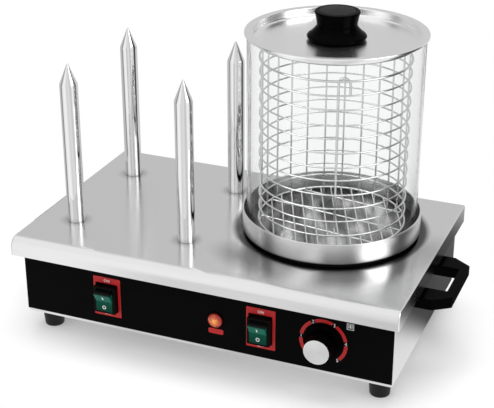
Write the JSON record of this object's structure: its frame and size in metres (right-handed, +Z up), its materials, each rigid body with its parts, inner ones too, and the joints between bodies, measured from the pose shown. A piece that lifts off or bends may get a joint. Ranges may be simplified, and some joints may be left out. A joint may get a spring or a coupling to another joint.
{
  "type": "hot dog spike machine",
  "caption": "Countertop bun warmer: heated upright spikes for buns beside a glass steamer with wire basket and lid, on a steel housing with switches and dial.",
  "frame": {"origin": "on the floor under the middle of the machine's bounding box", "axes": "+Z up, +X to the right of someone facing the controls, +Y to the back"},
  "size_m": [0.5452, 0.3154, 0.4005],
  "materials": {
    "satin_steel": "satin brushed stainless",
    "polished_steel": "polished stainless",
    "wire_steel": "bright wire",
    "zinc_steel": "zinc plated",
    "heater_steel": "dull steel",
    "cast_aluminium": "cast",
    "copper": "drawn copper",
    "panel_black": "gloss black",
    "black_plastic": "gloss",
    "matte_black_plastic": "matte",
    "pale_plastic": "matte",
    "black_rubber": "matte",
    "green_rocker": "translucent green",
    "orange_lens": "translucent orange",
    "silver_cap": "spun",
    "clear_glass": "clear"
  },
  "bodies": {
    "chassis": {"top_cover": "satin_steel", "case_front": "satin_steel", "case_back": "satin_steel", "case_left": "satin_steel", "case_right": "satin_steel", "cover_nuts": "zinc_steel", "base_plate": "satin_steel", "base_screws": "zinc_steel", "front_left_foot": "black_rubber", "front_right_foot": "black_rubber", "rear_left_foot": "black_rubber", "rear_right_foot": "black_rubber", "foot_screws": "zinc_steel", "foot_nuts": "zinc_steel", "front_panel": "panel_black", "left_handle": "black_plastic", "right_handle": "black_plastic", "handle_screws": "zinc_steel", "front_left_spike": "polished_steel", "front_right_spike": "polished_steel", "rear_left_spike": "polished_steel", "rear_right_spike": "polished_steel", "spike_heaters": "heater_steel", "spike_washers": "zinc_steel", "spike_nuts": "zinc_steel", "plate_seal": "black_rubber", "hot_plate": "cast_aluminium", "ring_heater": "heater_steel", "pressure_plate": "zinc_steel", "plate_strap": "zinc_steel", "plate_nut": "zinc_steel", "thermostat_body": "pale_plastic", "thermostat_screws": "zinc_steel", "thermostat_bulb": "copper", "bulb_clip": "zinc_steel", "spike_switch_body": "black_plastic", "plate_switch_body": "black_plastic", "lamp_body": "matte_black_plastic", "lamp_lens": "orange_lens", "lamp_nut": "zinc_steel", "cable_gland": "matte_black_plastic", "gland_nut": "matte_black_plastic", "terminal_block": "pale_plastic"},
    "dial": {"thermostat_shaft": "zinc_steel", "dial_knob": "black_plastic", "dial_cap": "silver_cap"},
    "spike_rocker": {"spike_switch_rocker": "green_rocker"},
    "plate_rocker": {"plate_switch_rocker": "green_rocker"},
    "pan": {"water_pan": "polished_steel"},
    "glass": {"glass_cylinder": "clear_glass"},
    "lid": {"lid_dish": "satin_steel", "lid_knob": "black_plastic", "lid_screw": "zinc_steel"},
    "basket": {"basket_uprights": "wire_steel", "basket_rings": "wire_steel", "basket_rims": "wire_steel", "basket_floor": "wire_steel", "basket_braces": "wire_steel", "basket_lifter": "wire_steel"}
  },
  "joints": [
    {"name": "dial_turn", "type": "hinge", "parent": "chassis", "child": "dial", "pos_m": [0.1506, -0.13275, 0.0673], "axis": [0, 1, 0], "range_deg": [0, 280]},
    {"name": "spike_switch_press", "type": "hinge", "parent": "chassis", "child": "spike_rocker", "pos_m": [-0.121, -0.13625, 0.066], "axis": [-1, 0, 0], "range_deg": [0, 28]},
    {"name": "plate_switch_press", "type": "hinge", "parent": "chassis", "child": "plate_rocker", "pos_m": [0.075, -0.13625, 0.066], "axis": [-1, 0, 0], "range_deg": [0, 28]},
    {"name": "pan_lift", "type": "slide", "parent": "chassis", "child": "pan", "axis": [0, 0, 1], "range_m": [0, 0.05]},
    {"name": "glass_lift", "type": "slide", "parent": "pan", "child": "glass", "axis": [0, 0, 1], "range_m": [0, 0.26]},
    {"name": "lid_lift", "type": "slide", "parent": "glass", "child": "lid", "axis": [0, 0, 1], "range_m": [0, 0.36]},
    {"name": "basket_lift", "type": "slide", "parent": "pan", "child": "basket", "axis": [0, 0, 1], "range_m": [0, 0.252]}
  ],
  "couplings": [
    {"joint": "basket_lift", "follows": "lid_lift", "ratio": 0.7}
  ]
}
